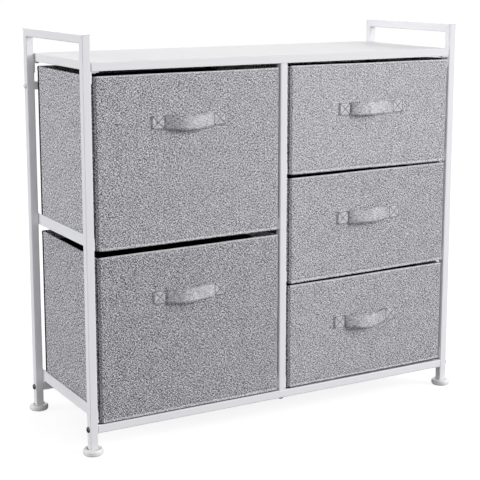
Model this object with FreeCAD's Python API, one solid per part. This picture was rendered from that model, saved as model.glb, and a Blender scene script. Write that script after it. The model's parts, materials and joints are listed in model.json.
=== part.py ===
import FreeCAD, Part
import math
import os

# Fabric drawer dresser. A white frame of square steel tube carries a laminated
# top board and five fabric drawers, which slide on steel angle runners.
# Millimetres, +Z up, the front towards -Y. The origin is on the floor, under
# the middle of the overall box.

# Frame
frame_width = 840.0          # over the outer faces of the side posts
frame_depth = 300.0          # over the front and rear faces of the posts
frame_height = 784.0         # floor to the top of the side frames
tube_size = 16.0             # square tube, outside
tube_wall = 1.2
tube_corner = 2.0            # outside corner radius of the tube
tube_bore_corner = 0.8       # inside corner radius
handle_gap = 33.5            # between the board and the side frame's top rail
bottom_rail_height = 41.5    # floor to the underside of the bottom rails
rear_top_rail_drop = 39.5    # board underside to the top of the rear top rail

# Angle runners and board brackets, cut from one angle section
angle_height = 22.0
angle_width = 16.0
angle_wall = 2.0
runner_inset = 3.0           # runner end to the face of the post
runner_lift = 6.0            # bottom rail to the underside of the lowest runners
bracket_length = 13.0

# Top board
board_thickness = 16.0
board_end_gap = 1.0          # board end to the side post
board_edge_radius = 1.0

# Feet
foot_diameter = 38.0
foot_height = 12.0
foot_edge_radius = 4.0
foot_cup_depth = 5.0         # round cup that the post stands in
foot_cup_gap = 1.2           # round the corners of the post
foot_plug_length = 20.0
plug_gap = 0.1               # plug to the inside of the tube, each side

# Fasteners
bolt_diameter = 6.0
bolt_head_diameter = 11.5
bolt_head_height = 3.2
bolt_socket = 4.0            # hexagon socket across flats
bolt_socket_depth = 2.0
bolt_hole_gap = 0.25         # radial, in the tube walls
thread_gap = 0.05            # radial, in the plugs and in the board
nut_plug_length = 18.0
nut_plug_flange = 1.5
bolt_grip = 12.0             # length of the bolt inside the plug
screw_diameter = 4.0
screw_head_diameter = 7.5
screw_head_height = 2.4
screw_bite = 11.0            # length of the screw inside the board

# Drawer layout
left_pitch = 327.9           # lower runner to upper runner, left column
right_pitch = 218.2          # runner to runner, right column
left_rows = 2
right_rows = 3
drawer_side_gap = 2.0        # drawer side to the runner's upright leaf
drawer_lift = 0.5            # drawer floor above the runner's flat leaf
drawer_rear_gap = 4.0        # drawer back to the rear posts
front_drop = 4.3             # front panel below the underside of the runner
front_gap = 7.0              # between two front panels of a column
front_headroom = 8.0         # top front panels to the board
front_recess = 0.5           # front panels behind the faces of the posts
runner_front_gap = 1.5       # runner's flat leaf behind the front panel

# Drawer build: fabric over stiff board
fabric = 1.0
front_board = 3.5
wall_board = 2.0
base_board = 3.0
board_pocket_gap = 0.1       # board to its fabric pocket
base_board_gap = 1.0         # base board to the drawer walls
front_edge_radius = 2.0
bin_corner_radius = 3.0

# Strap handles
strap_length = 156.0         # over the sewn tabs
strap_width = 27.0
strap_thickness = 2.4
strap_tab = 27.0             # sewn length at each end
strap_reach = 18.0           # front panel to the outside of the loop
strap_drop = 90.0            # top of the front panel to the middle of the strap

# Worked-out levels and faces
foot_overhang = (foot_diameter - tube_size) / 2
handle_overhang = strap_reach - front_recess
middle_y = (handle_overhang - foot_overhang) / 2
front_y = middle_y - frame_depth / 2
rear_y = middle_y + frame_depth / 2
outer_x = frame_width / 2
inner_x = outer_x - tube_size
post_x = outer_x - tube_size / 2
front_post_y = front_y + tube_size / 2
rear_post_y = rear_y - tube_size / 2
post_bottom = foot_height - foot_cup_depth
board_top = frame_height - tube_size - handle_gap
board_under = board_top - board_thickness
bottom_rail_top = bottom_rail_height + tube_size
rear_top_rail_top = board_under - rear_top_rail_drop
rear_top_rail_under = rear_top_rail_top - tube_size
lowest_runner = bottom_rail_top + runner_lift
panel_y = front_y + front_recess
panel_thickness = front_board + 2 * fabric
wall_thickness = wall_board + 2 * fabric
plug_size = tube_size - 2 * tube_wall - 2 * plug_gap
screw_offset = (angle_width + angle_wall) / 2
cut_margin = 1.0             # how far a cutting tool runs past the face it leaves
hair = 1e-6                  # tolerance when picking edges by their place

X = FreeCAD.Vector(1, 0, 0)
Y = FreeCAD.Vector(0, 1, 0)
Z = FreeCAD.Vector(0, 0, 1)


def at(x, y, z):
    return FreeCAD.Vector(x, y, z)


def box(low, high):
    """Box between two corners given as (x, y, z)."""
    size = [b - a for a, b in zip(low, high)]
    return Part.makeBox(size[0], size[1], size[2], at(*low))


def rod(radius, length, start, direction):
    return Part.makeCylinder(radius, length, start, direction)


def rounded_square(size, radius):
    """Square wire in the XY plane, centred, with round corners."""
    half = size / 2
    flat = half - radius
    bulge = flat + radius * math.sqrt(0.5)
    edges = []
    for quarter in range(4):
        turn = FreeCAD.Rotation(Z, 90 * quarter)
        corner = [at(half, flat, 0), at(bulge, bulge, 0), at(flat, half, 0)]
        side = [at(flat, half, 0), at(-flat, half, 0)]
        edges.append(Part.Arc(*[turn.multVec(p) for p in corner]).toShape())
        edges.append(Part.LineSegment(*[turn.multVec(p) for p in side]).toShape())
    return Part.Wire(edges)


def square_bar(size, radius, length):
    """Solid bar along +Z from the origin."""
    return Part.Face(rounded_square(size, radius)).extrude(Z * length)


def square_tube(length):
    """Hollow tube along +Z from the origin."""
    outside = square_bar(tube_size, tube_corner, length)
    return outside.cut(square_bar(tube_size - 2 * tube_wall, tube_bore_corner, length))


def aim(shape, start, direction):
    """Turn a shape built along +Z to run along direction from start."""
    placed = shape.copy()
    turn = FreeCAD.Rotation(Z, direction)
    placed.Placement = FreeCAD.Placement(start, turn).multiply(placed.Placement)
    return placed


def mitre(shape, corner_y, inwards, keep_lower):
    """Cut a side-frame tube at 45 degrees at the top corner of the frame."""
    reach = frame_height
    corner = at(0, corner_y, frame_height)
    slope = [corner + at(0, -inwards * reach, reach), corner + at(0, inwards * reach, -reach)]
    far = at(0, inwards * reach, reach) if keep_lower else at(0, -inwards * reach, -reach)
    points = [slope[0], slope[1], slope[1] + far, slope[0] + far, slope[0]]
    face = Part.Face(Part.makePolygon(points))
    face.translate(at(-frame_width, 0, 0))
    return shape.cut(face.extrude(X * 2 * frame_width))


def bolt_holes(start, direction):
    """Clearance bore through one tube, both walls."""
    return rod(bolt_diameter / 2 + bolt_hole_gap, tube_size, start, direction)


def side_post(side, post_y, rail_levels):
    """Post of a side frame, mitred at the top and drilled for the rail bolts."""
    inwards = 1 if post_y < middle_y else -1
    post = aim(square_tube(frame_height - post_bottom), at(side * post_x, post_y, post_bottom), Z)
    post = mitre(post, post_y - inwards * tube_size / 2, inwards, True)
    for level in rail_levels:
        post = post.cut(bolt_holes(at(side * outer_x, post_y, level), X * -side))
    return post


def side_top_rail(side):
    rail = aim(square_tube(frame_depth), at(side * post_x, front_y, frame_height - tube_size / 2), Y)
    rail = mitre(rail, front_y, 1, False)
    return mitre(rail, rear_y, -1, False)


def angle(length):
    """Angle section along +Z: flat leaf on the XZ plane towards +X, upright leaf towards +Y."""
    points = [at(0, 0, 0), at(angle_width, 0, 0), at(angle_width, angle_wall, 0),
              at(angle_wall, angle_wall, 0), at(angle_wall, angle_height, 0),
              at(0, angle_height, 0), at(0, 0, 0)]
    return Part.Face(Part.makePolygon(points)).extrude(Z * length)


def runner(face_x, inwards, level):
    """Drawer runner on the posts at face_x, its flat leaf at the bottom pointing inwards."""
    length = frame_depth - 2 * runner_inset
    bar = angle(length)
    bar.rotate(at(0, 0, 0), X, 90)
    bar.translate(at(0, length, 0))
    if inwards < 0:
        bar = bar.mirror(at(0, 0, 0), X)
    bar.translate(at(face_x, front_y + runner_inset, level))
    leaf_start = panel_y + panel_thickness + runner_front_gap
    notch = [(face_x + inwards * angle_wall, front_y, level - cut_margin),
             (face_x + inwards * (angle_width + cut_margin), leaf_start, level + angle_wall + cut_margin)]
    low = [min(pair) for pair in zip(*notch)]
    high = [max(pair) for pair in zip(*notch)]
    return bar.cut(box(low, high))


def board_bracket(spot, inwards):
    """Short angle under the board, upright leaf against the post, drilled for one screw."""
    bar = angle(bracket_length)
    bar.translate(at(0, 0, -bracket_length / 2))
    bar.rotate(at(0, 0, 0), X, -90)
    hole = rod(screw_diameter / 2 + bolt_hole_gap, angle_wall, at(screw_offset, 0, 0), Z * -1)
    bar = bar.cut(hole)
    bar.Placement = FreeCAD.Placement(at(*spot), FreeCAD.Rotation(X, inwards)).multiply(bar.Placement)
    return bar


def nut_plug():
    """Threaded plug along +Z for a tube end: flange from z = 0, square body into the tube."""
    flange = square_bar(tube_size, tube_corner, nut_plug_flange)
    rim = [e for e in flange.Edges if abs(e.CenterOfMass.z) < hair]
    flange = flange.makeFillet(nut_plug_flange * 0.6, rim)
    body = square_bar(plug_size, tube_bore_corner, nut_plug_length)
    body.translate(Z * nut_plug_flange)
    bore = rod(bolt_diameter / 2 + thread_gap, nut_plug_flange + nut_plug_length, at(0, 0, 0), Z)
    return flange.fuse(body).cut(bore).removeSplitter()


def bolt():
    """Button-head bolt along +Z, the head's seat at z = 0."""
    head = rod(bolt_head_diameter / 2, bolt_head_height, at(0, 0, -bolt_head_height), Z)
    crown = [e for e in head.Edges if abs(e.CenterOfMass.z + bolt_head_height) < hair]
    head = head.makeFillet(bolt_head_height * 0.7, crown)
    corner = bolt_socket / 2 / math.cos(math.pi / 6)
    socket_points = [at(corner * math.cos(k * math.pi / 3), corner * math.sin(k * math.pi / 3),
                        -bolt_head_height) for k in range(7)]
    socket = Part.Face(Part.makePolygon(socket_points)).extrude(Z * bolt_socket_depth)
    shank = rod(bolt_diameter / 2, tube_size + nut_plug_flange + bolt_grip, at(0, 0, 0), Z)
    return head.cut(socket).fuse(shank).removeSplitter()


def board_screw(seat_to_board):
    """Pan-head screw along +Z, the head's seat at z = 0, its tip in the board."""
    head = rod(screw_head_diameter / 2, screw_head_height, at(0, 0, -screw_head_height), Z)
    crown = [e for e in head.Edges if abs(e.CenterOfMass.z + screw_head_height) < hair]
    head = head.makeFillet(screw_head_height * 0.6, crown)
    return head.fuse(rod(screw_diameter / 2, seat_to_board + screw_bite, at(0, 0, 0), Z)).removeSplitter()


def foot(side, post_y):
    """Round moulded foot: a cup round the post's end and a square plug up inside the tube."""
    radius = foot_diameter / 2
    disc = rod(radius, foot_height, at(0, 0, 0), Z)
    rims = [e for e in disc.Edges if abs(e.Length - 2 * math.pi * radius) < hair * radius]
    disc = disc.makeFillet(foot_edge_radius, rims)
    corner_reach = tube_size / 2 * math.sqrt(2) - tube_corner * (math.sqrt(2) - 1)
    cup = rod(corner_reach + foot_cup_gap, foot_cup_depth, at(0, 0, post_bottom), Z)
    plug = square_bar(plug_size, tube_bore_corner, foot_plug_length)
    plug.translate(Z * post_bottom)
    shape = disc.cut(cup).fuse(plug).removeSplitter()
    shape.translate(at(side * post_x, post_y, 0))
    return shape


def strap_handle(middle_x, middle_z):
    """Strap with two sewn tabs and a bowed loop, a plan outline raised to the strap's width."""
    half = strap_length / 2
    root = half - strap_tab
    reach = strap_reach
    thick = strap_thickness
    tabs_and_bow = [
        Part.LineSegment(at(-half, 0, 0), at(-root, 0, 0)),
        Part.Arc(at(-root, 0, 0), at(0, thick - reach, 0), at(root, 0, 0)),
        Part.LineSegment(at(root, 0, 0), at(half, 0, 0)),
        Part.LineSegment(at(half, 0, 0), at(half, -thick, 0)),
        Part.LineSegment(at(half, -thick, 0), at(root, -thick, 0)),
        Part.Arc(at(root, -thick, 0), at(0, -reach, 0), at(-root, -thick, 0)),
        Part.LineSegment(at(-root, -thick, 0), at(-half, -thick, 0)),
        Part.LineSegment(at(-half, -thick, 0), at(-half, 0, 0)),
    ]
    outline = Part.Wire([piece.toShape() for piece in tabs_and_bow])
    strap = Part.Face(outline).extrude(Z * strap_width)
    strap.translate(at(middle_x, panel_y, middle_z - strap_width / 2))
    return strap


def drawer_pieces(low_x, high_x, runner_level, front_top):
    """Front panel, bin, stiffeners, base board and strap of one drawer."""
    front_bottom = runner_level - front_drop
    floor = runner_level + angle_wall + drawer_lift
    back_y = rear_y - tube_size - drawer_rear_gap
    bin_y = panel_y + panel_thickness

    panel = box((low_x, panel_y, front_bottom), (high_x, bin_y, front_top))
    outer_edges = [e for e in panel.Edges if abs(e.CenterOfMass.y - panel_y) < hair]
    panel = panel.makeFillet(front_edge_radius, outer_edges)
    front_pocket = ((low_x + front_edge_radius, panel_y + fabric, front_bottom + front_edge_radius),
                    (high_x - front_edge_radius, bin_y - fabric, front_top - front_edge_radius))
    panel = panel.cut(box(*front_pocket))

    body = box((low_x, bin_y, floor), (high_x, back_y, front_top))
    back_edges = [e for e in body.Edges
                  if abs(e.CenterOfMass.y - back_y) < hair and abs(e.tangentAt(0).z) > 0.99]
    body = body.makeFillet(bin_corner_radius, back_edges)
    inside = box((low_x + wall_thickness, bin_y, floor + fabric),
                 (high_x - wall_thickness, back_y - wall_thickness, front_top))
    body = body.cut(inside)
    pocket_low = floor + 2 * fabric
    pocket_top = front_top - fabric
    side_end = back_y - wall_thickness
    pockets = [
        ((low_x + fabric, bin_y + fabric, pocket_low), (low_x + fabric + wall_board, side_end, pocket_top)),
        ((high_x - fabric - wall_board, bin_y + fabric, pocket_low), (high_x - fabric, side_end, pocket_top)),
        ((low_x + wall_thickness, back_y - fabric - wall_board, pocket_low),
         (high_x - wall_thickness, back_y - fabric, pocket_top)),
    ]
    for pocket in pockets:
        body = body.cut(box(*pocket))

    boards = []
    for low, high in pockets + [front_pocket]:
        boards.append(box([c + board_pocket_gap for c in low], [c - board_pocket_gap for c in high]))

    base = box((low_x + wall_thickness + base_board_gap, bin_y + base_board_gap, floor + fabric),
               (high_x - wall_thickness - base_board_gap, back_y - wall_thickness - base_board_gap,
                floor + fabric + base_board))
    strap = strap_handle((low_x + high_x) / 2, front_top - strap_drop)
    return {"front_panel": panel, "bin": body, "stiffeners": Part.makeCompound(boards),
            "base_board": base, "handle": strap}


nodes = {}

# Side frames: two posts and a mitred top rail each
bottom_level = bottom_rail_height + tube_size / 2
rear_top_level = rear_top_rail_under + tube_size / 2
for side, side_name in ((-1, "left"), (1, "right")):
    nodes[side_name + "_front_post"] = side_post(side, front_post_y, [bottom_level])
    nodes[side_name + "_rear_post"] = side_post(side, rear_post_y, [bottom_level, rear_top_level])
    nodes[side_name + "_top_rail"] = side_top_rail(side)
    nodes[side_name + "_front_foot"] = foot(side, front_post_y)
    nodes[side_name + "_rear_foot"] = foot(side, rear_post_y)

# Cross rails between the side frames, and the centre posts that stand between them
rail_start = inner_x - nut_plug_flange
rails = {"front_bottom_rail": (front_post_y, bottom_level),
         "rear_bottom_rail": (rear_post_y, bottom_level),
         "rear_top_rail": (rear_post_y, rear_top_level)}
plugs = []
bolts = []
for name, (rail_y, level) in rails.items():
    rail = aim(square_tube(2 * rail_start), at(-rail_start, rail_y, level), X)
    rail_bore = bolt_holes(at(0, rail_y, level - tube_size / 2), Z)
    nodes[name] = rail.cut(rail_bore)
    for side in (-1, 1):
        plugs.append(aim(nut_plug(), at(side * inner_x, rail_y, level), X * -side))
        bolts.append(aim(bolt(), at(side * outer_x, rail_y, level), X * -side))

centre_bottom = bottom_rail_top + nut_plug_flange
front_length = board_under - centre_bottom
rear_length = rear_top_rail_under - nut_plug_flange - centre_bottom
nodes["center_front_post"] = aim(square_tube(front_length), at(0, front_post_y, centre_bottom), Z)
nodes["center_rear_post"] = aim(square_tube(rear_length), at(0, rear_post_y, centre_bottom), Z)
for post_y in (front_post_y, rear_post_y):
    plugs.append(aim(nut_plug(), at(0, post_y, bottom_rail_top), Z))
    bolts.append(aim(bolt(), at(0, post_y, bottom_rail_height), Z))
plugs.append(aim(nut_plug(), at(0, rear_post_y, rear_top_rail_under), Z * -1))
bolts.append(aim(bolt(), at(0, rear_post_y, rear_top_rail_top), Z * -1))
nodes["tube_end_plugs"] = Part.makeCompound(plugs)
nodes["frame_bolts"] = Part.makeCompound(bolts)

# Board on five brackets, one at each corner post and one behind the centre front post
bracket_spots = [((side * inner_x, post_y, board_under), X * -side)
                 for side in (-1, 1) for post_y in (front_post_y, rear_post_y)]
bracket_spots.append(((0, front_y + tube_size, board_under), Y))
board_end = inner_x - board_end_gap
board = box((-board_end, front_y, board_under), (board_end, rear_y, board_top))
board = board.makeFillet(board_edge_radius, board.Edges)
brackets = []
screws = []
for spot, inwards in bracket_spots:
    centre = at(*spot) + inwards * screw_offset
    board = board.cut(rod(screw_diameter / 2 + thread_gap, screw_bite, centre, Z))
    brackets.append(board_bracket(spot, inwards))
    screws.append(aim(board_screw(angle_wall), centre - Z * angle_wall, Z))
nodes["top_board"] = board
nodes["board_brackets"] = Part.makeCompound(brackets)
nodes["board_screws"] = Part.makeCompound(screws)

# Two columns of drawers, from the lowest runner upwards
centre_x = tube_size / 2
columns = {
    "left": {"faces": (-inner_x, -centre_x), "pitch": left_pitch, "rows": left_rows,
             "names": ("lower", "upper")},
    "right": {"faces": (centre_x, inner_x), "pitch": right_pitch, "rows": right_rows,
              "names": ("lower", "middle", "upper")},
}
for column, layout in columns.items():
    low_face, high_face = layout["faces"]
    outer_face, centre_face = (low_face, high_face) if column == "left" else (high_face, low_face)
    outwards = -1 if column == "left" else 1
    for row in range(layout["rows"]):
        level = lowest_runner + row * layout["pitch"]
        row_name = layout["names"][row]
        nodes["%s_%s_runner" % (column, row_name)] = runner(outer_face, -outwards, level)
        nodes["center_%s_%s_runner" % (column, row_name)] = runner(centre_face, outwards, level)
        top_row = row == layout["rows"] - 1
        front_top = board_under - front_headroom
        if not top_row:
            front_top = level + layout["pitch"] - front_drop - front_gap
        side_room = angle_wall + drawer_side_gap
        pieces = drawer_pieces(low_face + side_room, high_face - side_room, level, front_top)
        for piece_name, shape in pieces.items():
            nodes["%s_%s_drawer_%s" % (row_name, column, piece_name)] = shape

os.makedirs("parts", exist_ok=True)
for name, shape in nodes.items():
    shape.exportStep("parts/%s.step" % name)
print("nodes:", len(nodes))
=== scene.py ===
import json
import math

import bmesh
import bpy
import numpy as np
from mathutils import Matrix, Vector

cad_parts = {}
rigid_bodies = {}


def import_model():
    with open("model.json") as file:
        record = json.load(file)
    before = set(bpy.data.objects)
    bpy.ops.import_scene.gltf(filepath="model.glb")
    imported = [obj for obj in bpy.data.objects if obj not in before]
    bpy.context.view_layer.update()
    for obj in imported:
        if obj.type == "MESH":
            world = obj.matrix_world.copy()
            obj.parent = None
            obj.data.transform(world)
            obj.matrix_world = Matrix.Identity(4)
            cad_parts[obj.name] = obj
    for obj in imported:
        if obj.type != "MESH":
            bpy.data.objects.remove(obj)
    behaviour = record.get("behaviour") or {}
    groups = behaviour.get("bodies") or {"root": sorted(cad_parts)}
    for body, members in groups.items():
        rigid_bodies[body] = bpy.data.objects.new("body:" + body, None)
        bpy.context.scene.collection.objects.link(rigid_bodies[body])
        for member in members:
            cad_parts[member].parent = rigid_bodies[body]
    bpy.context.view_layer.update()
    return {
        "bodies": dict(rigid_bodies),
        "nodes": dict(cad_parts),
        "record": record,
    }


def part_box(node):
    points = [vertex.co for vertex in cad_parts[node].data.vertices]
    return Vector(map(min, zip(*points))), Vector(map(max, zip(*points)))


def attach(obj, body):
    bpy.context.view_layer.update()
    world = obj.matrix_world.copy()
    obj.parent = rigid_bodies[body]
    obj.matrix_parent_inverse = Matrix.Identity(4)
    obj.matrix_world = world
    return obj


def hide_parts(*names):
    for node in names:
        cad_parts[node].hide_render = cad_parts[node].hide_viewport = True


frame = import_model()

# Fabric drawer dresser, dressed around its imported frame. Metres throughout, front towards -Y.

nodes = frame["nodes"]
drawers = sorted(name for name in frame["bodies"] if name.endswith("_drawer"))


# Shader maths as plain expressions

class Wire:
    # one output of a shader node; + - * and > on it add Math nodes
    def __init__(self, shader, socket):
        self.shader = shader
        self.socket = socket

    def __gt__(self, other):
        return self.shader.calculate("GREATER_THAN", self, other)


def addOperator(name, operation):
    setattr(Wire, "__" + name + "__", lambda self, other: self.shader.calculate(operation, self, other))
    setattr(Wire, "__r" + name + "__", lambda self, other: self.shader.calculate(operation, other, self))


for name, operation in (("add", "ADD"), ("sub", "SUBTRACT"), ("mul", "MULTIPLY")):
    addOperator(name, operation)


class Shader:
    # a material or world tree that is built by calls to node()
    def __init__(self, tree):
        self.tree = tree
        tree.nodes.clear()

    def node(self, kind, settings=None, inputs=None, output=0):
        # settings go in first, since they decide which sockets there are; colours are given as three
        # numbers
        made = self.tree.nodes.new("ShaderNode" + kind)
        for key, value in (settings or {}).items():
            setattr(made, key, value)
        for key, value in (inputs or {}).items():
            socket = made.inputs[key]
            if isinstance(value, Wire):
                self.tree.links.new(value.socket, socket)
            elif socket.type == "RGBA":
                socket.default_value = (*value, 1.0)
            else:
                socket.default_value = value
        return Wire(self, made.outputs[output]) if len(made.outputs) else made

    def calculate(self, operation, *values):
        return self.node("Math", {"operation": operation}, dict(enumerate(values)))

    def stretch(self, vector, factors):
        return self.node("VectorMath", {"operation": "MULTIPLY"}, {0: vector, 1: factors})

    def part(self, vector, axis):
        return self.node("SeparateXYZ", None, {0: vector}, axis)

    def noise(self, vector, sizes, detail=1.0, dimensions="2D"):
        # smooth noise whose grains measure the given sizes along the vector's axes
        scaled = self.stretch(vector, tuple(1 / size for size in sizes))
        return self.node("TexNoise", {"noise_dimensions": dimensions},
                         {"Vector": scaled, "Scale": 1.0, "Detail": detail})

    def place(self):
        return self.node("TexCoord", output="Object")

    def grain(self, sizes, detail=1.0):
        # solid noise in the piece's own coordinates; one size goes for all three axes
        return self.noise(self.place(), np.broadcast_to(sizes, 3).tolist(), detail, "3D")

    def around(self, base, *parts):
        # the base plus each noise's distance from its mean, 0.5, times its weight
        for noise, weight in parts:
            base = (noise - 0.5) * weight + base
        return base

    def ramp(self, value, stops):
        made = self.node("ValToRGB", None, {"Fac": value})
        elements = made.socket.node.color_ramp.elements
        while len(elements) < len(stops):
            elements.new(1.0)
        for element, (place, colour) in zip(elements, stops):
            element.position = place
            element.color = (*colour, 1.0)
        return made

    def mix(self, factor, first, second):
        # a Mix node has its colours in sockets 6 and 7 and in output 2
        return self.node("Mix", {"data_type": "RGBA"}, {0: factor, 6: first, 7: second}, 2)

    def bump(self, height, depth, strength=0.5):
        return self.node("Bump", None, {"Height": height, "Distance": depth, "Strength": strength})


def makeMaterial(name, recipe, **options):
    # the recipe gets the shader tree and gives either a surface or the sockets of a principled one
    material = bpy.data.materials.new(name)
    material.use_nodes = True
    shader = Shader(material.node_tree)
    surface = recipe(shader, **options)
    if isinstance(surface, dict):
        surface = shader.node("BsdfPrincipled", None, surface)
    shader.node("OutputMaterial", None, {"Surface": surface})
    return material


# Cloth

def wovenHeight(shader, cloth):
    # plain weave: |sin| ridges along u and v, each on top in every other square of a checker
    squares = shader.stretch(cloth, (1 / heather["pitch"], 1 / heather["pitch"], 0))

    def ridge(axis):
        return shader.calculate("ABSOLUTE", shader.calculate("SINE", shader.part(squares, axis) * math.pi))

    cell = shader.node("TexChecker", None, {"Vector": squares, "Scale": 1.0}, "Fac")
    return ridge("X") * cell + ridge("Y") * (1 - cell)


heather = {
    "thread": 0.0008, "yarn": 0.0031, "fleck": 0.0018, "slub": 0.0080, "cloud": 0.026, "pitch": 0.0011,
    "yarnWeight": 1.1, "fleckWeight": 0.8, "cloudWeight": 0.35, "toneAndShadeWeight": 0.30,
    "roughness": 0.86, "roughSpread": 0.12, "weaveShare": 0.7, "toneShare": 0.5, "depth": 0.0003,
    "stops": [(0.0, (0.02, 0.02, 0.023)), (0.04, (0.055, 0.054, 0.0625)), (0.34, (0.245, 0.241, 0.2675)),
              (0.55, (0.365, 0.3585, 0.3935)), (0.78, (0.53, 0.5225, 0.562)), (1.0, (0.78, 0.775, 0.815))],
}


def heatherCloth(shader, contrast, brightness, streak):
    # light and dark yarns both ways, flecks on top and slow clouds beneath, through one ramp of greys;
    # streak weighs the long slubs along the cloth, and the hem attribute makes it paler or darker, partly by
    # the cloth's own tone and partly by painted light and shade
    cloth = shader.node("UVMap", {"uv_map": "cloth"})

    def fibres(across, along, detail=0.0):
        return shader.noise(cloth, (heather[across], heather[along], 1.0), detail)

    weft = fibres("yarn", "thread")
    yarns = shader.around(0.0, (weft, heather["yarnWeight"]),
                          (fibres("thread", "yarn"), heather["yarnWeight"]),
                          (fibres("fleck", "fleck"), heather["fleckWeight"]),
                          (fibres("slub", "thread"), streak))
    hem = shader.node("Attribute", {"attribute_name": "hem"}, output="Fac")
    tone = yarns * contrast + hem * heather["toneAndShadeWeight"] + (0.5 + brightness)
    tone = shader.around(tone, (fibres("cloud", "cloud", 2.0), heather["cloudWeight"]))
    height = wovenHeight(shader, cloth) * heather["weaveShare"] + tone * heather["toneShare"]
    return {"Base Color": shader.ramp(tone, heather["stops"]),
            "Roughness": shader.around(heather["roughness"], (weft, heather["roughSpread"])),
            "Sheen Weight": 0.12, "Sheen Roughness": 0.5, "Specular IOR Level": 0.25,
            "Normal": shader.bump(height, heather["depth"], 0.8)}


lining = {
    "dot": 0.0016, "dotTop": 0.4, "dotSoft": 0.3, "fibre": 0.0009, "stretch": 4, "fibreShare": 0.5,
    # its near-black colours are partly painted shade, darker than the lining would be, so gaps into the
    # drawers read as deep shadow
    "dark": (0.004, 0.004, 0.005), "light": (0.009, 0.009, 0.010), "roughness": 0.8, "depth": 0.00025,
}


def liningCloth(shader):
    # bonded lining: short fibres pressed flat at a grid of small dots
    cloth = shader.node("UVMap", {"uv_map": "cloth"})
    fibres = shader.noise(cloth, (lining["fibre"] * lining["stretch"], lining["fibre"], 1.0), 3.0)
    grid = shader.stretch(cloth, (1 / lining["dot"], 1 / lining["dot"], 0))
    across, along = (shader.calculate("SINE", shader.part(grid, axis) * math.tau) for axis in "XY")
    dots = shader.calculate("SMOOTH_MIN", across * along, lining["dotTop"], lining["dotSoft"])
    return {"Base Color": shader.mix(fibres, lining["dark"], lining["light"]),
            "Roughness": shader.around(lining["roughness"], (fibres, 0.2)), "Specular IOR Level": 0.05,
            "Normal": shader.bump(fibres * lining["fibreShare"] - dots, lining["depth"], 0.7)}


sewing = {
    "grey": (0.33, 0.33, 0.35), "slate": (0.13, 0.13, 0.14), "dark": (0.045, 0.045, 0.052),
    "shades": (0.75, 1.2), "ply": 0.0008, "roughness": 0.6,
}


def sewingThread(shader, colour):
    # twisted plies as fine noise
    ply = shader.grain(sewing["ply"])
    low, high = ([shade * c for c in colour] for shade in sewing["shades"])
    return {"Base Color": shader.mix(ply, low, high), "Sheen Weight": 0.2,
            "Roughness": shader.around(sewing["roughness"], (ply, 0.2)), "Normal": shader.bump(ply, 0.0001)}


# Hard finishes

powder = {"colour": (0.765, 0.765, 0.79), "cooler": (0.74, 0.742, 0.772), "peel": 0.0011, "drift": 0.09,
          "roughness": 0.5}


def powderCoat(shader):
    drift = shader.grain(powder["drift"], 2.0)
    peel = shader.grain(powder["peel"])
    return {"Base Color": shader.mix(drift, powder["cooler"], powder["colour"]),
            "Roughness": shader.around(powder["roughness"], (drift, 0.12), (peel, 0.08)),
            "Specular IOR Level": 0.2, "Normal": shader.bump(peel, 0.00006, 0.6)}


laminate = {
    "colour": (0.715, 0.715, 0.725), "band": (0.765, 0.765, 0.785), "flatOver": 0.7,
    "haze": (0.69, 0.69, 0.705), "hazeSize": 0.12, "hazeFrom": 0.35, "hazeWeight": 0.25,
    "grain": 0.0007, "stretch": 6, "roughness": 0.66,
}


def laminateFinish(shader):
    # hazy pressed laminate above and below, darker than the slightly paler edge band round the sides; that
    # darkening of the top and bottom is painted shade against the stronger light from above
    upwards = shader.part(shader.node("NewGeometry", output="Normal"), "Z")
    flat = shader.calculate("ABSOLUTE", upwards) > laminate["flatOver"]
    size = laminate["grain"]
    grain = shader.grain((size * laminate["stretch"], size, size), 2.0)
    haze = (shader.grain(laminate["hazeSize"], 2.0) - laminate["hazeFrom"]) * laminate["hazeWeight"]
    colour = shader.mix(flat, laminate["band"], laminate["colour"])
    return {"Base Color": shader.mix(haze, colour, laminate["haze"]),
            "Roughness": shader.around(laminate["roughness"], (grain, 0.15)),
            "Specular IOR Level": 0.10, "Normal": shader.bump(grain, 0.00005)}


moulded = {"colour": (0.80, 0.80, 0.795), "shade": (0.74, 0.74, 0.74), "cloud": 0.02, "spark": 0.0006,
           "roughness": 0.45}


def mouldedPlastic(shader):
    cloud = shader.grain(moulded["cloud"], 2.0)
    return {"Base Color": shader.mix(cloud, moulded["shade"], moulded["colour"]),
            "Roughness": shader.around(moulded["roughness"], (cloud, 0.15)),
            "Normal": shader.bump(shader.grain(moulded["spark"]), 0.00005)}


zinc = {"colour": (0.13, 0.13, 0.14), "dull": (0.07, 0.07, 0.08), "patch": 0.003, "scratch": 0.0004,
        "stretch": 8, "roughness": 0.32, "enamelledOver": 0.5}


def zincPlate(shader):
    # dark zinc, partly the bolts' own colour and partly painted shade standing for their sockets, and the
    # bolts of the upper rail enamelled white like the frame
    enamelled = shader.part(shader.place(), "Z") > zinc["enamelledOver"]
    patch = shader.grain(zinc["patch"], 2.0)
    brush = shader.grain((zinc["scratch"] * zinc["stretch"], zinc["scratch"], zinc["scratch"]))
    colour = shader.mix(patch, zinc["dull"], zinc["colour"])
    return {"Base Color": shader.mix(enamelled, colour, powder["colour"]), "Metallic": 1 - enamelled,
            "Roughness": shader.around(zinc["roughness"], (patch, 0.25), (brush, 0.1)),
            "Normal": shader.bump(brush, 0.00003)}


raw = {"sizes": (0.0048, 0.0012, 0.0036), "light": (0.42, 0.30, 0.19), "dark": (0.26, 0.18, 0.11),
       "roughness": 0.8}


def fibreBoard(shader):
    fibre = shader.grain(raw["sizes"], 3.0)
    return {"Base Color": shader.mix(fibre, raw["dark"], raw["light"]),
            "Roughness": shader.around(raw["roughness"], (fibre, 0.2)), "Normal": shader.bump(fibre, 0.0002)}


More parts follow.
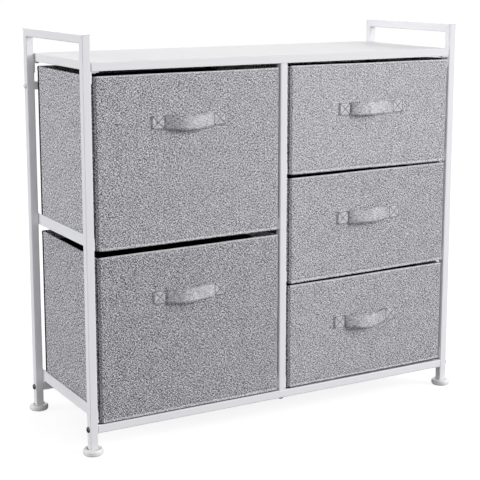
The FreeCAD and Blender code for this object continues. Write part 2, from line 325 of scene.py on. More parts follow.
finishes = {
    "white_steel": makeMaterial("powderCoat", powderCoat),
    "board_laminate": makeMaterial("boardLaminate", laminateFinish),
    "foot_plastic": makeMaterial("mouldedPlastic", mouldedPlastic),
    "bolt_steel": makeMaterial("zincPlate", zincPlate),
    "stiff_board": makeMaterial("fibreBoard", fibreBoard),
    "drawer_fabric": makeMaterial("heatherCloth", heatherCloth, contrast=2.9, brightness=0.015, streak=0.4),
    "strap_fabric": makeMaterial("strapCloth", heatherCloth, contrast=0.85, brightness=0.20, streak=1.2),
}
liningFinish = makeMaterial("liningCloth", liningCloth)
threads = {tone: makeMaterial(tone + "Thread", sewingThread, colour=sewing[tone])
           for tone in ("grey", "slate", "dark")}

for entry in frame["record"]["subparts"]:
    mesh = nodes[entry["node"]].data
    mesh.materials.clear()
    mesh.materials.append(finishes[entry["material_slot"]])
print("finishes on", len(nodes), "frame pieces")


# Surfaces from grids of points

def boxOf(node):
    return [np.array(corner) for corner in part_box(node)]


def gridPiece(name, patches, body, slot, hidden=(), materials=None, weld=2e-5):
    # each patch is a grid of points with cloth coordinates, a finish number and a hem strength, a tone that
    # is partly the cloth's own and partly painted light and shade
    parts, start = [], 0
    for patch in patches:
        grid = patch["points"]
        rows, columns = grid.shape[:2]
        index = start + np.arange(rows * columns).reshape(rows, columns)
        corners = np.stack([index[:-1, :-1], index[1:, :-1], index[1:, 1:], index[:-1, 1:]], -1)
        parts.append((grid.reshape(-1, 3), corners.reshape(-1, 4),
                      patch.get("cloth", grid[..., :2]).reshape(-1, 2),
                      np.broadcast_to(patch.get("finish", 0), (rows - 1, columns - 1)).ravel(),
                      np.broadcast_to(patch.get("hem", 0.0), (rows, columns)).ravel()))
        start += rows * columns
    points, quads, cloths, finish, hems = (np.concatenate(part) for part in zip(*parts))
    mesh = bpy.data.meshes.new(name)
    mesh.from_pydata(points.tolist(), [], quads.tolist())
    layer = mesh.uv_layers.new(name="cloth")
    layer.data.foreach_set("uv", cloths[quads.ravel()].astype(np.float32).ravel())
    hem = mesh.attributes.new("hem", "FLOAT", "POINT")
    hem.data.foreach_set("value", hems.astype(np.float32))
    mesh.polygons.foreach_set("material_index", finish.astype(np.int32))
    for material in materials or [finishes[slot]]:
        mesh.materials.append(material)
    finishPiece(name, mesh, body, hidden, weld)


def newObject(name, data):
    made = bpy.data.objects.new(name, data)
    bpy.context.scene.collection.objects.link(made)
    return made


def finishPiece(name, mesh, body, hidden, weld):
    # merges the seams, turns the faces outwards and sets the piece on its body
    shell = bmesh.new()
    shell.from_mesh(mesh)
    bmesh.ops.remove_doubles(shell, verts=shell.verts, dist=weld)
    bmesh.ops.recalc_face_normals(shell, faces=shell.faces)
    shell.to_mesh(mesh)
    shell.free()
    mesh.shade_smooth()
    piece = newObject(name, mesh)
    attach(piece, body)
    if hidden:
        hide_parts(*hidden)


def spread(low, high, edge, fine, coarse):
    # grid lines from low to high, close together within edge of both ends
    near = np.arange(0.0, edge, fine)
    middle = np.linspace(low + edge, high - edge, max(2, round((high - low - 2 * edge) / coarse)))
    return np.concatenate([low + near, middle, (high - near)[::-1]])


def smoothStep(value, low, high):
    share = np.clip((value - low) / (high - low), 0.0, 1.0)
    return share * share * (3 - 2 * share)


def lengthAlong(points):
    # running length of each line of points
    steps = np.linalg.norm(np.diff(points, axis=-2), axis=-1)
    return np.cumsum(np.concatenate([np.zeros_like(steps[..., :1]), steps], -1), -1)


def stepAt(value, place, soft):
    return smoothStep(value, place - soft, place + soft)


def blend(ends, share):
    return ends[0] * (1 - share) + ends[1] * share


def bell(value, centre, width):
    return np.exp(-((value - centre) / width) ** 2)


def softBox(low, high, soft, lines, power=2.0):
    # a box with rounded edges: each point of the plain box goes to the nearest point of a smaller inner
    # box plus the direction from there, of length 1 in the norm of the given power, times the rounding
    # of that side; power 2 is an ellipse and power 1 a straight bevel
    softLow, softHigh = np.array(soft).T
    innerLow, innerHigh = low + softLow, high - softHigh
    patches = []
    for axis in range(3):
        first, second = [k for k in range(3) if k != axis]
        for end, level in ((0, low[axis]), (1, high[axis])):
            grid = np.zeros((len(lines[first]), len(lines[second]), 3))
            grid[..., first] = lines[first][:, None]
            grid[..., second] = lines[second]
            grid[..., axis] = level
            nearest = np.clip(grid, innerLow, innerHigh)
            rounding = np.where(grid < innerLow, softLow, softHigh)
            away = (grid - nearest) / rounding
            size = (np.abs(away) ** power).sum(-1, keepdims=True) ** (1 / power)
            away = away / np.maximum(size, 1e-9)
            # the cloth runs on over the front's edges onto the sides, top and bottom
            if axis != 1:
                grid[..., axis] += (grid[..., 1] - low[1]) * (1 if end else -1)
            patches.append({"points": nearest + away * rounding, "cloth": grid[..., [0, 2]], "facing": away})
    return patches


# Sewing: rows of short stitches

stitch = {
    "length": 0.0030, "gap": 0.0012, "radius": 0.00042, "dip": 0.0003, "crest": 0.6, "lift": 0.4,
    "sides": 6, "girth": [(-1.0, 0.0), (-0.8, 0.75), (-0.35, 1.0), (0.35, 1.0), (0.8, 0.75), (1.0, 0.0)],
    "step": 0.0008, "weld": 2e-6,
}


def stitchGrids(size, middles, along, out):
    # one stitch is a thread with pinched ends, by pairs of place and girth; its middle line rises as a
    # parabola over the cloth
    turns = np.linspace(0.0, math.tau, stitch["sides"] + 1)
    shares, girth = np.array(stitch["girth"]).T
    middles, along, out = (v[:, None] for v in np.broadcast_arrays(middles, along, out))
    line = middles + along * (shares * size["length"] / 2)[:, None]
    line = line + out * (stitch["dip"] * (stitch["crest"] - shares ** 2))[:, None]
    ring = np.cross(along, out) * np.cos(turns)[:, None] + out * np.sin(turns)[:, None]
    return line[:, :, None] + ring[:, None] * (size["radius"] * girth)[:, None, None]


def stitchPiece(name, rows, material, body, size=stitch):
    # rows of (middles, along, out); every stitch is a small tube closed at both ends
    grids = np.concatenate([stitchGrids(size, *row) for row in rows])
    count, rings, turns = grids.shape[:3]
    index = np.arange(count * rings * turns).reshape(count, rings, turns)
    quads = np.stack([index[:, :-1, :-1], index[:, :-1, 1:], index[:, 1:, 1:], index[:, 1:, :-1]], -1)
    mesh = bpy.data.meshes.new(name)
    mesh.from_pydata(grids.reshape(-1, 3).tolist(), [], quads.reshape(-1, 4).tolist())
    mesh.materials.append(material)
    finishPiece(name, mesh, body, (), stitch["weld"])


def alongLine(start, end, size=stitch):
    # places of the stitches from start to end
    start, end = np.asarray(start, float), np.asarray(end, float)
    count = int(np.linalg.norm(end - start) / (size["length"] + size["gap"]))
    shares = (np.arange(count) + 0.5) / count
    return start + (end - start) * shares[:, None]


def stitchRow(places, surface):
    # stitches on a surface of two coordinates: directions come from small steps on it
    step = places[-1] - places[0]
    step = step / np.linalg.norm(step) * stitch["step"]
    middles = surface(*places.T, stitch["radius"] * stitch["lift"])
    along = surface(*(places + step).T, 0.0) - surface(*(places - step).T, 0.0)
    out = surface(*places.T, stitch["step"]) - surface(*places.T, 0.0)
    along, out = (v / np.linalg.norm(v, axis=1, keepdims=True) for v in (along, out))
    return middles, along, out


# Drawer fronts

front = {
    "left": 0.0081, "right": 0.0010, "depth": 0.0045, "back": 0.0010, "top": 0.0014, "bottom": 0.0014,
    "bevel": 1.0, "fine": 0.0007, "coarse": 0.0040, "edge": 0.0140, "layers": 8,
    "topHem": 0.0052, "bottomHem": 0.0082, "hemRise": 0.0003, "hemSoft": 0.0004, "groove": 0.0006,
    "grooveWidth": 0.0009, "rollMiddle": 0.0040, "rollHalf": 0.0044, "rollRise": 0.0008,
    "fall": 0.0004, "fallWidth": 0.0140, "belly": 0.0009, "wave": 0.0003,
    "waves": ((31, 17, 1), (-13, 43, 2)), "pucker": 0.00015, "puckerPitch": 0.0115, "puckerDrift": (3, 23),
    "puckerReach": 0.006, "ripple": 0.00025, "rippleTurns": 9.0, "curlReach": 0.016, "phase": 1.7,
    "stitchInset": 0.002,
}

# How each front sits: rise of its top and bottom edges at their left and right ends, shift to the right
# of its left and right edges at their lower and upper ends, shades of its left and right ends (partly the
# cloth's own tone and partly painted light), the painted shade of its left band and the painted light on
# the bin's walls, lift of its lower left corner and of the rim's right front, and the height of its
# painted dark lower edge
fitKeys = ("top", "bottom", "left", "right", "shade", "fold", "bag", "curl", "rim", "seat")
frontFit = {
    "upper_left_drawer": ((-0.0012, -0.0002), (-0.0004, 0.0026), (-0.0024, -0.0018), (0.0005, 0.0010),
                          (-0.07, 0.27), 1.30, 0.40, 0.0016, 0.0, 0.0026),
    "lower_left_drawer": ((-0.00375, 0.00055), (-0.0015, -0.0015), (-0.0012, -0.0014), (0.0010, 0.0011),
                          (-0.53, -0.19), 0.80, -0.12, 0.0, 0.0, 0.0028),
    "upper_right_drawer": ((0.0022, 0.0012), (0.0009, 0.0005), (-0.0005, -0.0002), (-0.0003, 0.0020),
                           (0.87, 0.59), 0.95, 0.0, 0.0, 0.0030, 0.0026),
    "middle_right_drawer": ((0.0019, 0.0053), (-0.0023, 0.0033), (0.0000, 0.0002), (0.0001, 0.0002),
                            (0.47, 0.12), 0.86, 0.0, 0.0, 0.0, 0.0026),
    "lower_right_drawer": ((0.0022, 0.0056), (-0.0015, 0.0009), (-0.0018, -0.0018), (-0.0016, -0.0008),
                           (0.31, 0.04), 0.90, 0.0, 0.0, 0.0, 0.0038),
}


def frontShift(x, z, panel):
    # how far a point moves right and up: each edge's shifts run straight from end to end, the top and
    # bottom ones with a small ripple, and are blended linearly between opposite edges; the curl lifts
    # the lower left corner
    low, high, fit = panel["low"], panel["high"], panel["fit"]
    across = (x - low[0]) / (high[0] - low[0])
    up = (z - low[2]) / (high[2] - low[2])
    ripple = np.sin(across * front["rippleTurns"] + panel["phase"]) * np.sin(across * math.pi)
    ripple = front["ripple"] * ripple
    curl = fit["curl"] * bell(x, low[0], front["curlReach"])
    rise = blend((blend(fit["bottom"], across) - ripple + curl, blend(fit["top"], across) + ripple), up)
    return blend((blend(fit["left"], up), blend(fit["right"], up)), across), rise


def frontRelief(x, z, panel):
    # how far the cloth stands out: a belly (product of two parabolas), slow sine waves, a flat hem along
    # the top with a bell-shaped groove, a rolled hem (half ellipse) along the bottom with its groove,
    # puckers beside both, and a parabola that falls away to each side edge
    low, high, phase = panel["low"], panel["high"], panel["phase"]
    across = 2 * (x - low[0]) / (high[0] - low[0]) - 1
    up = 2 * (z - low[2]) / (high[2] - low[2]) - 1
    belly = front["belly"] * (1 - across ** 2) * (1 - up ** 2)
    wave = sum(np.sin(x * alongX + z * alongZ + phase * times) for alongX, alongZ, times in front["waves"])
    wave = front["wave"] * wave * (1 - across ** 4) * (1 - up ** 4)
    below, above = high[2] - z, z - low[2]
    band = front["hemRise"] * (1 - stepAt(below, front["topHem"], front["hemSoft"]))
    roll = np.clip(1 - ((above - front["rollMiddle"]) / front["rollHalf"]) ** 2, 0.0, 1.0) ** 0.5
    fromSeam = np.minimum(np.abs(below - front["topHem"]), np.abs(above - front["bottomHem"]))
    groove = front["groove"] * bell(fromSeam, 0.0, front["grooveWidth"])
    turns, rate = front["puckerDrift"]
    drift = turns * np.sin(x * rate + phase)
    pucker = front["pucker"] * np.sin(x * math.tau / front["puckerPitch"] + drift)
    pucker = pucker * bell(fromSeam, 0.0, front["puckerReach"])
    side = np.minimum(x - low[0], high[0] - x)
    fall = front["fall"] * np.clip(1 - side / front["fallWidth"], 0.0, 1.0) ** 2
    return belly + wave + band + front["rollRise"] * roll - groove + pucker - fall


# the pale bands, of which the top and right ones are painted highlights where the edge turns to the light:
# tone and the distances from their edge between which they fade; the groove's painted shade: tone, height
# and width; the left band's painted shade: the distances from the edge between which it fades; the left
# face's painted shade: tone and the share of facing left between which it comes; the painted shade along
# the low edge: tone and softness; the painted highlight towards the top: its strength
tones = {
    "topHighlight": (3.1, 0.0014, 0.0032), "topPale": (0.28, 0.0060, 0.0100), "bottomFold": (1.8, 0.0062, 0.0074),
    "rightHighlight": (0.12, 0.0030, 0.0050), "grooveShade": (0.30, 0.0088, 0.0012), "leftShadeReach": (0.0074, 0.0086),
    "leftFaceShade": (3.0, 0.55, 0.68), "lowEdgeShade": (5.0, 0.0004), "rise": 0.10,
}


def toneAndPaintedShade(x, z, panel, facing):
    # paler bands along the top, bottom and right, those at the very top and right edges painted highlights
    # where the cloth turns to the light; painted shade in the groove above the lower hem, down the left side
    # where the cloth turns from the light, deepest on the face towards the post, and along the lower edge
    # over the rail; and a shade that runs from left to right, partly the cloth's own tone and partly painted
    # light, with a painted highlight towards the top
    low, high, fit = panel["low"], panel["high"], panel["fit"]
    across = (x - low[0]) / (high[0] - low[0])
    below, above = high[2] - z, z - low[2]
    pale = 0.0
    for key, distance in (("topHighlight", below), ("topPale", below), ("bottomFold", above),
                          ("rightHighlight", high[0] - x)):
        tone, near, far = tones[key]
        pale = np.maximum(pale, tone * (1 - smoothStep(distance, near, far)))
    grooveShadeTone, lineHeight, lineWidth = tones["grooveShade"]
    faceShadeTone, faceFrom, faceTo = tones["leftFaceShade"]
    edgeShade, edgeSoft = tones["lowEdgeShade"]
    fold = 1 - smoothStep(x - low[0], *tones["leftShadeReach"])
    dark = fit["fold"] * fold + faceShadeTone * smoothStep(-facing[..., 0], faceFrom, faceTo)
    dark = dark + edgeShade * (1 - stepAt(above, fit["seat"], edgeSoft))
    # the rise is a painted highlight: the upper part of each front lighter, as if tilted back to the light
    shade = blend(fit["shade"], across) + tones["rise"] * (above / (above + below) - 0.5)
    return (pale - grooveShadeTone * bell(above, lineHeight, lineWidth)) * (1 - fold) - dark + shade


def drawerFront(drawer, number):
    low, high = boxOf(drawer + "_front_panel")
    panel = {"low": low, "high": high, "fit": dict(zip(fitKeys, frontFit[drawer])),
             "phase": front["phase"] * number}
    soft = [(front["left"], front["right"]), (front["depth"], front["back"]),
            (front["bottom"], front["top"])]
    across, up = (spread(low[k], high[k], front["edge"], front["fine"], front["coarse"]) for k in (0, 2))
    lines = [across, np.linspace(low[1], high[1], front["layers"]), up]
    patches = softBox(low, high, soft, lines, front["bevel"])
    for patch in patches:
        points = patch["points"]
        x, z = points[..., 0].copy(), points[..., 2].copy()
        towards = np.clip(-patch["facing"][..., 1], 0.0, 1.0) ** 2
        right, rise = frontShift(x, z, panel)
        points[..., 0] += right
        points[..., 1] -= frontRelief(x, z, panel) * towards
        points[..., 2] += rise
        patch["hem"] = toneAndPaintedShade(x, z, panel, patch["facing"])
    gridPiece(drawer + "_front_cloth", patches, drawer, "drawer_fabric", [drawer + "_front_panel"])

    def face(x, z, out):
        right, rise = frontShift(x, z, panel)
        return np.stack([x + right, low[1] - frontRelief(x, z, panel) - out, z + rise], -1)

    inset = front["left"] + front["stitchInset"]
    rows = [stitchRow(alongLine((low[0] + inset, level), (high[0] - inset, level)), face)
            for level in (high[2] - front["topHem"], low[2] + front["bottomHem"])]
    stitchPiece(drawer + "_front_stitches", rows, threads["grey"], drawer)
    return panel


# Drawer bins

bag = {
    "corner": 0.0030, "wall": 0.0040, "frontWall": 0.0010, "frontDrop": 0.0040, "foot": 0.0025,
    "hem": 0.0100, "hemRise": 0.0004, "hemSoft": 0.0005, "groove": 0.0005, "grooveWidth": 0.0008,
    "bow": 0.0012, "floor": 0.0010, "clear": 0.0003, "binding": 0.0070, "clothScale": 0.74,
    "reach": 0.27, "fade": 0.66, "rimSag": 0.0008, "rimLines": 0.020, "planStep": 0.010,
    "liftAcross": (0.8, 1.0), "liftBack": (0.0, 0.5), "stitchInset": 0.002, "stitchRise": 0.0016,
    "outerLines": 22, "innerLines": 16, "floorRings": (1.0, 0.97, 0.85, 0.6, 0.3, 0.0), "slack": 0.0001,
}


def planPath(low, high, corner, step=None, near=0.0):
    # a closed rectangle with round corners: straight runs joined by quarter circles; a step puts points on
    # each run, the outer ones at the distance near from its ends; gives the points, the outward directions
    # and the length along it, the first point repeated at the end
    turns = np.linspace(0.0, math.pi / 2, 6)
    places, outs = [], []
    centres = [(high[0] - corner, high[1] - corner), (low[0] + corner, high[1] - corner),
               (low[0] + corner, low[1] + corner), (high[0] - corner, low[1] + corner)]
    for k, centre in enumerate(centres):
        angle = turns + k * math.pi / 2
        arc = np.stack([np.cos(angle), np.sin(angle)], -1)
        move = np.array(centres[(k + 1) % 4]) - np.array(centre)
        run = np.linalg.norm(move)
        shares = np.linspace(near / run, 1.0 - near / run, max(3, round(run / step)) if step else 0)
        places += [centre + arc * corner, centre + arc[-1] * corner + shares[:, None] * move]
        outs += [arc, np.broadcast_to(arc[-1], (len(shares), 2))]
    places = np.concatenate(places + [places[0][:1]])
    outs = np.concatenate(outs + [outs[0][:1]])
    return places, outs, lengthAlong(places)


def binRise(x, y, panel):
    # the rim's rise: that of the front's top edge, fading to a third at the back, less a sine's sag, and
    # a lift at the front end of the right wall
    low, high, fit = panel["low"], panel["high"], panel["fit"]
    across = np.clip((x - low[0]) / (high[0] - low[0]), 0, 1)
    back = np.clip((y - high[1]) / bag["reach"], 0, 1)
    lift = fit["rim"] * smoothStep(across, *bag["liftAcross"]) * (1 - smoothStep(back, *bag["liftBack"]))
    top = blend(fit["top"], across) * (1 - bag["fade"] * back)
    return top - bag["rimSag"] * np.sin(back * math.pi) + lift


def drawerBin(drawer, panel):
    low, high = boxOf(drawer + "_bin")
    low[1] += bag["clear"]
    panel["binLow"], panel["binHigh"] = low, high
    plan, outward, length = planPath(low, high, bag["corner"], bag["planStep"], bag["binding"])
    # facing is 1 on the wall behind the front
    facing = np.clip(-outward[:, 1], 0.0, 1.0)[:, None] ** 2
    wall = blend((bag["wall"], bag["frontWall"]), facing)
    rise = binRise(plan[:, 0], plan[:, 1], panel)[:, None]
    tall = high[2] - low[2] + rise - bag["frontDrop"] * facing
    alongX, alongY = ((plan - low[:2]) / (high[:2] - low[:2])).T
    onSide = np.abs(outward[:, 0]) > np.abs(outward[:, 1])
    span = np.sin(np.where(onSide, alongY, alongX) * math.pi)[:, None] * (1 - facing)

    def wallPoints(depth, height):
        # depth inwards from the outer face and height over the base; both walls bow out by a product
        # of sines
        depth = depth - bag["bow"] * span * np.sin(np.clip(height / tall, 0, 1) * math.pi)
        flat = plan[:, None] - outward[:, None] * depth[..., None]
        return np.concatenate([flat, (low[2] + height)[..., None]], -1)

    def band(below):
        # the hem is raised within its height of the rim, with a groove at its lower edge
        raised = bag["hemRise"] * (1 - stepAt(below, bag["hem"], bag["hemSoft"]))
        return (raised - bag["groove"] * bell(below, bag["hem"], bag["grooveWidth"])) * (1 - facing)

    # grid lines near the rim by their distance from it, close together at the hem's groove
    nearRim = np.concatenate([[0.0175, 0.0150], np.arange(0.0125, 0.0075, -0.0005),
                              [0.0065, 0.0050, 0.0035, 0.0025]])
    belowRim = tall - bag["rimLines"]
    # outer wall: a quarter circle up from the base, then straight to the rim
    quarter = np.linspace(0.0, math.pi / 2, 5)[:-1]
    heights = np.concatenate([bag["foot"] * (1 - np.cos(quarter)) * np.ones_like(tall),
                              blend((bag["foot"], belowRim), np.linspace(0.0, 1.0, bag["outerLines"])),
                              tall - nearRim], 1)
    depths = np.zeros_like(heights)
    depths[:, :len(quarter)] = bag["foot"] * (1 - np.sin(quarter))
    outer = wallPoints(depths - band(tall - heights), heights)
    # rim: half a circle over the wall's thickness
    half = np.linspace(0.0, math.pi, 9)[1:-1]
    radius = wall / 2 + bag["hemRise"] * (1 - facing)
    rim = wallPoints(wall / 2 - radius * np.cos(half), tall - radius + radius * np.sin(half))
    # inner wall down to the floor
    heights = np.concatenate([tall - nearRim[::-1],
                              blend((belowRim, bag["floor"]), np.linspace(0.0, 1.0, bag["innerLines"]))], 1)
    inner = wallPoints(wall + band(tall - heights), heights)
    ring = np.concatenate([outer, rim, inner], 1)
    cloth = np.stack(np.broadcast_arrays(length[:, None], lengthAlong(ring) + low[2]), -1)
    cloth = cloth * bag["clothScale"]
    turned = outer.shape[1] + rim.shape[1] + len(nearRim)
    # the rear corners are bound with a strip of the lining cloth, its near-black also a painted shade line
    # down the rear edges
    fromSide = np.minimum(plan[:, 0] - low[0], high[0] - plan[:, 0])
    atCorner = np.maximum(fromSide, high[1] - plan[:, 1]) < bag["corner"] + bag["binding"] + bag["slack"]
    isLining = (np.arange(ring.shape[1] - 1) >= turned) | (atCorner[:-1] & atCorner[1:])[:, None]
    # the walls' tone from the front's fit is painted light: the upper left bin's walls lighter, the lower's
    # darker
    wallPatch = {"points": ring, "cloth": cloth, "finish": isLining * 1, "hem": panel["fit"]["bag"]}

    def floorPatch(edge, finish):
        # rings that shrink from the wall's foot to the centre
        centre = np.array([*(low[:2] + high[:2]) / 2, edge[0, 2]])
        points = centre + (edge[:, None] - centre) * np.array(bag["floorRings"])[:, None]
        return {"points": points, "finish": finish}

    patches = [wallPatch, floorPatch(ring[:, -1], 1), floorPatch(ring[:, 0], 0)]
    gridPiece(drawer + "_bin_cloth", patches, drawer, "drawer_fabric", [drawer + "_bin"],
              [finishes["drawer_fabric"], liningFinish])
    # stitches along the hem, outside and inside, on the three walls
    rows = []
    inset = bag["corner"] + bag["stitchInset"]
    sides = [((low[0], low[1] + inset), (low[0], high[1] - inset), (-1, 0, 0)),
             ((low[0] + inset, high[1]), (high[0] - inset, high[1]), (0, 1, 0)),
             ((high[0], high[1] - inset), (high[0], low[1] + inset), (1, 0, 0))]
    for start, end, out in sides:
        places = alongLine(start, end)
        level = high[2] + binRise(*places.T, panel) - bag["hem"] + bag["stitchRise"]
        middles = np.concatenate([places, level[:, None]], 1)
        along, out = np.append(np.subtract(end, start), 0.0) / math.dist(start, end), np.array(out)
        rows.append((middles + out * bag["hemRise"], along, out))
        rows.append((middles - out * (bag["wall"] + bag["hemRise"]), along, -out))
    stitchPiece(drawer + "_bin_stitches", rows, threads["grey"], drawer)


stiff = {
    "frontLow": (0.0100, 0.0022, 0.0075), "frontHigh": (0.0100, 0.0012, 0.0075), "cover": 0.001,
    "wallLow": (0.001, 0.004, 0.004), "wallHigh": (0.001, 0.001, 0.003), "end": 0.006, "soft": 0.0004,
    "long": 0.01, "lines": (12, 4),
}


def drawerBoards(drawer, panel):
    # stiff boards sewn into the front and the three walls: thin boxes that follow the cloth round them,
    # with more grid lines along their long sides
    low, high, binLow, binHigh = (panel[key] for key in ("low", "high", "binLow", "binHigh"))
    wallLow, wallHigh = binLow + stiff["wallLow"], binHigh - stiff["wallHigh"]
    inner = bag["wall"] - stiff["cover"]
    endLow, endHigh = binLow[0] + stiff["end"], binHigh[:2] - stiff["end"]
    boards = [
        (low + stiff["frontLow"], high - stiff["frontHigh"], (0, 0)),
        (wallLow, (binLow[0] + inner, endHigh[1], wallHigh[2]), (-1, 0)),
        ((binHigh[0] - inner, *wallLow[1:]), (wallHigh[0], endHigh[1], wallHigh[2]), (1, 0)),
        ((endLow, binHigh[1] - inner, wallLow[2]), (endHigh[0], *wallHigh[1:]), (0, 1)),
    ]
    patches = []
    for start, end, outwards in boards:
        start, end = np.array(start), np.array(end)
        counts = np.where(end - start > stiff["long"], *stiff["lines"])
        lines = [np.linspace(start[k], end[k], counts[k]) for k in range(3)]
        for patch in softBox(start, end, [(stiff["soft"], stiff["soft"])] * 3, lines):
            x, y, z = np.moveaxis(patch["points"].copy(), -1, 0)
            if outwards == (0, 0):
                right, rise = frontShift(x, z, panel)
                patch["points"][..., 0] += right
                patch["points"][..., 2] += rise
            else:
                along = (x - low[0]) / (high[0] - low[0])
                if outwards[0]:
                    along = (y - binLow[1]) / (binHigh[1] - binLow[1])
                up = (z - binLow[2]) / (binHigh[2] - binLow[2])
                bow = bag["bow"] * np.sin(along * math.pi) * np.sin(up * math.pi)
                patch["points"][..., 0] += outwards[0] * bow
                patch["points"][..., 1] += outwards[1] * bow
                patch["points"][..., 2] += binRise(x, y, panel) * up
            patches.append(patch)
    gridPiece(drawer + "_stiff_boards", patches, drawer, "stiff_board", [drawer + "_stiffeners"])


sleeve = {"soft": 0.0012, "edge": 0.004, "fine": 0.0008, "coarse": 0.02, "layers": 7}


def drawerBase(drawer):
    # loose base board in a sleeve of lining
    low, high = boxOf(drawer + "_base_board")
    lines = [spread(low[k], high[k], sleeve["edge"], sleeve["fine"], sleeve["coarse"]) for k in (0, 1)]
    lines.append(np.linspace(low[2], high[2], sleeve["layers"]))
    patches = softBox(low, high, [(sleeve["soft"], sleeve["soft"])] * 3, lines)
    gridPiece(drawer + "_base_cover", patches, drawer, "drawer_fabric", [drawer + "_base_board"],
              [liningFinish])


# Strap handles

strap = {
    "thick": 0.0018, "tight": 0.45, "droop": 0.0004, "edgeRow": 0.0016, "dip": 0.00045, "dipWidth": 0.0008,
    "crease": 0.0004, "creaseTurns": (29, 5), "swing": 0.9, "probe": 0.0004, "clothStart": 0.31,
    "creaseShade": 1.2, "jointAfter": 0.0008, "jointWidth": 0.0011, "edgeWidth": 0.0015, "edgeEnd": 0.90,
    "turnReach": 0.20, "endFrom": 0.70, "loopFrom": (-0.001, 0.002), "loopInset": 0.003, "boxSink": 0.0002,
    "boxReach": 0.0006, "endCloth": 0.2, "samples": 600, "past": 0.01,
    "tabLines": 31, "loopLines": 96, "outsideLines": 32, "insideLines": 14,
    "sewing": {"length": 0.0036, "gap": 0.0001, "radius": 0.00068},
}

# How each strap sits: how far its middle stands out and where between the tabs, how late it eases into the
# right tab, how much further its lower edge stands out, its sag towards its left and its right end, its
# shift to the right at both ends, the shades of its tabs, left flank, right flank and right end (on the
# flanks painted shade and light, darker where it turns from the lamp and paler where it turns to it), how
# much painted shadow darkens its upper edge and from where, and the threads of its left and right tab
strapKeys = ("bulge", "peak", "ease", "tilt", "sag", "shift", "shade", "edge", "thread")
strapFit = {
    "upper_left_drawer": (0.0150, 0.45, 40, 0.0, (0.0017, 0.0017), (-0.0012, -0.0013),
                          (0.20, -0.30, -0.03, -0.03), (0.0, 0.5), ("dark", "slate")),
    "lower_left_drawer": (0.0150, 0.43, 40, 0.0010, (0.0, -0.0020), (-0.0025, -0.0025),
                          (0.18, -0.40, 0.0, 0.0), (0.8, 0.35), ("dark", "dark")),
    "upper_right_drawer": (0.0105, 0.34, 5, 0.0010, (-0.0006, -0.0006), (0.0006, 0.0015),
                           (0.68, -0.08, 0.27, -0.10), (0.0, 0.5), ("dark", "slate")),
    "middle_right_drawer": (0.0105, 0.36, 5, 0.0045, (-0.0030, -0.0005), (-0.0005, -0.0020),
                            (0.50, -0.10, -0.20, -0.45), (0.0, 0.5), ("dark", "slate")),
    "lower_right_drawer": (0.0122, 0.40, 5, 0.0055, (-0.0005, 0.0055), (-0.0032, -0.0040),
                           (0.15, -0.24, -0.32, -0.42), (2.0, 0.72), ("dark", "slate")),
}


